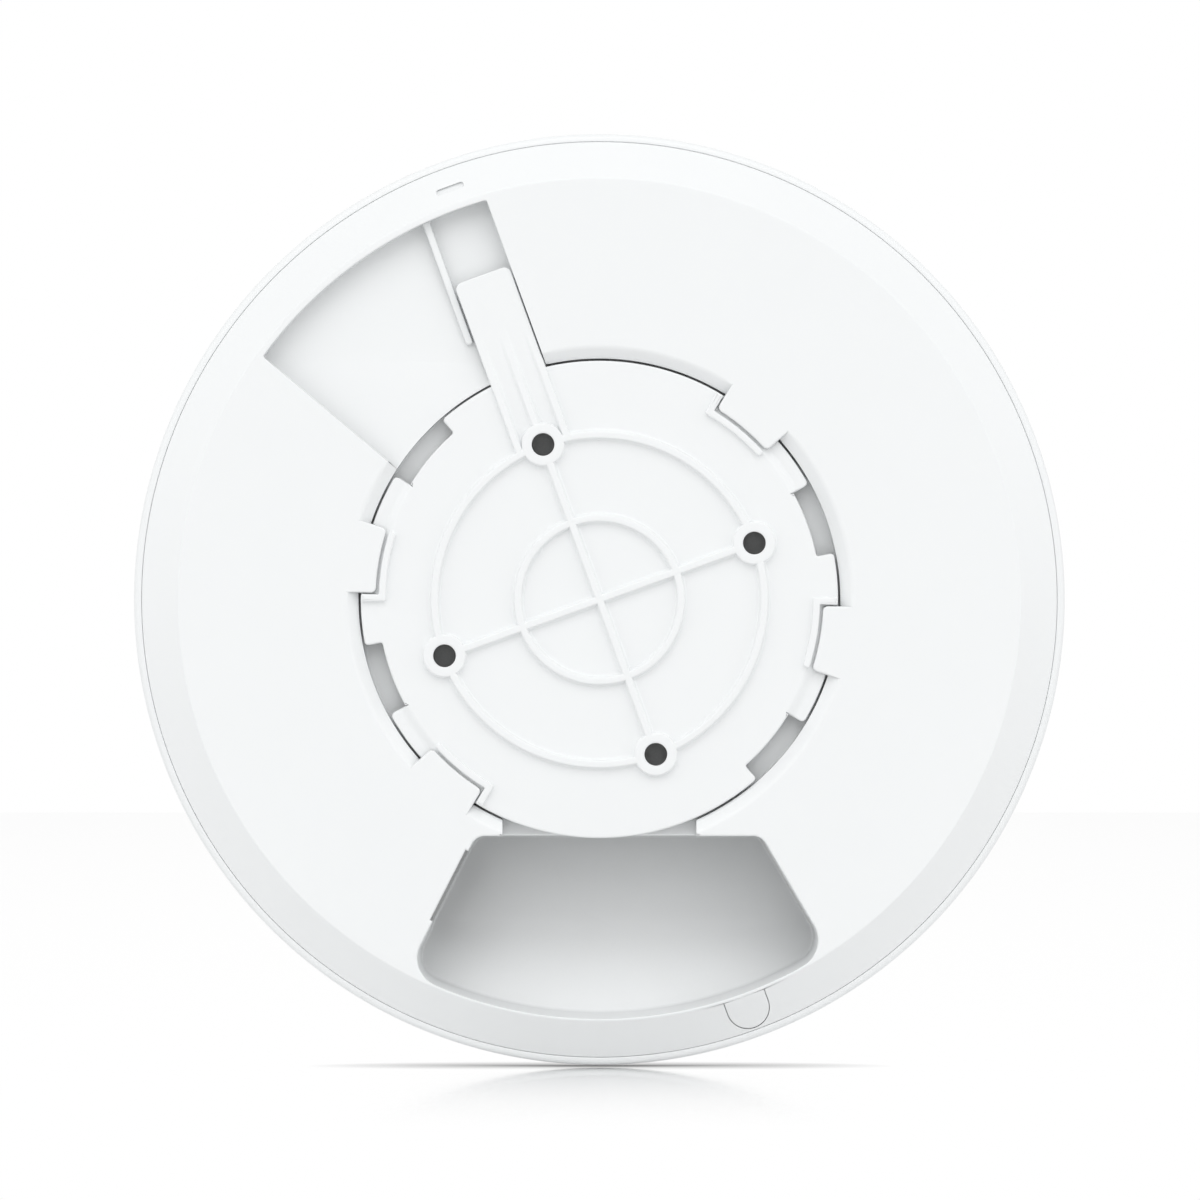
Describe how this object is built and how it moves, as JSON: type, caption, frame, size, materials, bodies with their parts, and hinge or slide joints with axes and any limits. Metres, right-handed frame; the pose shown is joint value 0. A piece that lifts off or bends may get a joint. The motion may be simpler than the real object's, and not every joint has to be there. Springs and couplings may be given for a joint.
{
  "type": "wireless access point",
  "caption": "Round ceiling or wall wireless access point with a bayonet mounting bracket, a cable compartment and a domed front cover",
  "frame": {"origin": "centre of the bracket's screw-hole pattern, on the surface that the bracket is screwed to", "axes": "-Y points out of the back, to the wall or ceiling; +Y out through the domed front; +Z to the top of the case, opposite the cable compartment. On a ceiling the part is turned so that -Y points up."},
  "size_m": [0.16, 0.033, 0.16],
  "materials": {
    "case_plastic": "smooth satin white",
    "bracket_plastic": "satin white",
    "diffuser": "translucent milky",
    "label": "matt dark grey, blank",
    "cast_aluminium": "as cast",
    "thermal_pad": "soft matt",
    "board": "solder mask",
    "tin_plate": "tinned sheet",
    "chip": "moulded epoxy",
    "jack_metal": "nickel-plated sheet",
    "jack_plastic": "moulded black",
    "contact_gold": "gold-plated",
    "ferrite": "sintered",
    "capacitor_can": "drawn can",
    "button_plastic": "satin white",
    "led": "clear resin",
    "screw_steel": "zinc-plated"
  },
  "bodies": {
    "bracket": {"mounting_bracket": "bracket_plastic"},
    "latch": {"latch_arm": "bracket_plastic"},
    "access_point": {"back_case": "case_plastic", "front_cover": "case_plastic", "center_cap": "case_plastic", "light_ring": "diffuser", "light_guide": "diffuser", "rating_label": "label", "heat_sink": "cast_aluminium", "thermal_pads": "thermal_pad", "main_board": "board", "processor_shield": "tin_plate", "radio_shield_5ghz": "tin_plate", "radio_shield_2ghz": "tin_plate", "processor_chip": "chip", "memory_chip": "chip", "flash_chip": "chip", "radio_chips": "chip", "jack_shell": "jack_metal", "jack_insert": "jack_plastic", "jack_contacts": "contact_gold", "network_transformer": "chip", "power_transformer": "ferrite", "power_inductor": "ferrite", "power_capacitors": "capacitor_can", "reset_switch": "jack_plastic", "led_lights": "led", "antennas_2ghz": "tin_plate", "antennas_5ghz": "tin_plate", "board_screws": "screw_steel"},
    "cable_cover": {"cable_exit_cover": "case_plastic"},
    "reset": {"reset_button": "button_plastic"}
  },
  "joints": [
    {"name": "twist_lock", "type": "hinge", "parent": "bracket", "child": "access_point", "pos_m": [0, 0, 0], "axis": [0, 1, 0], "range_deg": [0, 30]},
    {"name": "latch_bend", "type": "hinge", "parent": "bracket", "child": "latch", "pos_m": [-0.01436, 0, 0.03947], "axis": [0.9397, 0, 0.342], "range_deg": [0, 2], "stiffness_Nm_per_rad": 0.7},
    {"name": "cable_cover_pull", "type": "slide", "parent": "access_point", "child": "cable_cover", "axis": [0, -1, 0], "range_m": [0, 0.012]},
    {"name": "reset_press", "type": "slide", "parent": "access_point", "child": "reset", "axis": [0, 0, 1], "range_m": [0, 0.0005], "stiffness_N_per_m": 2000}
  ]
}
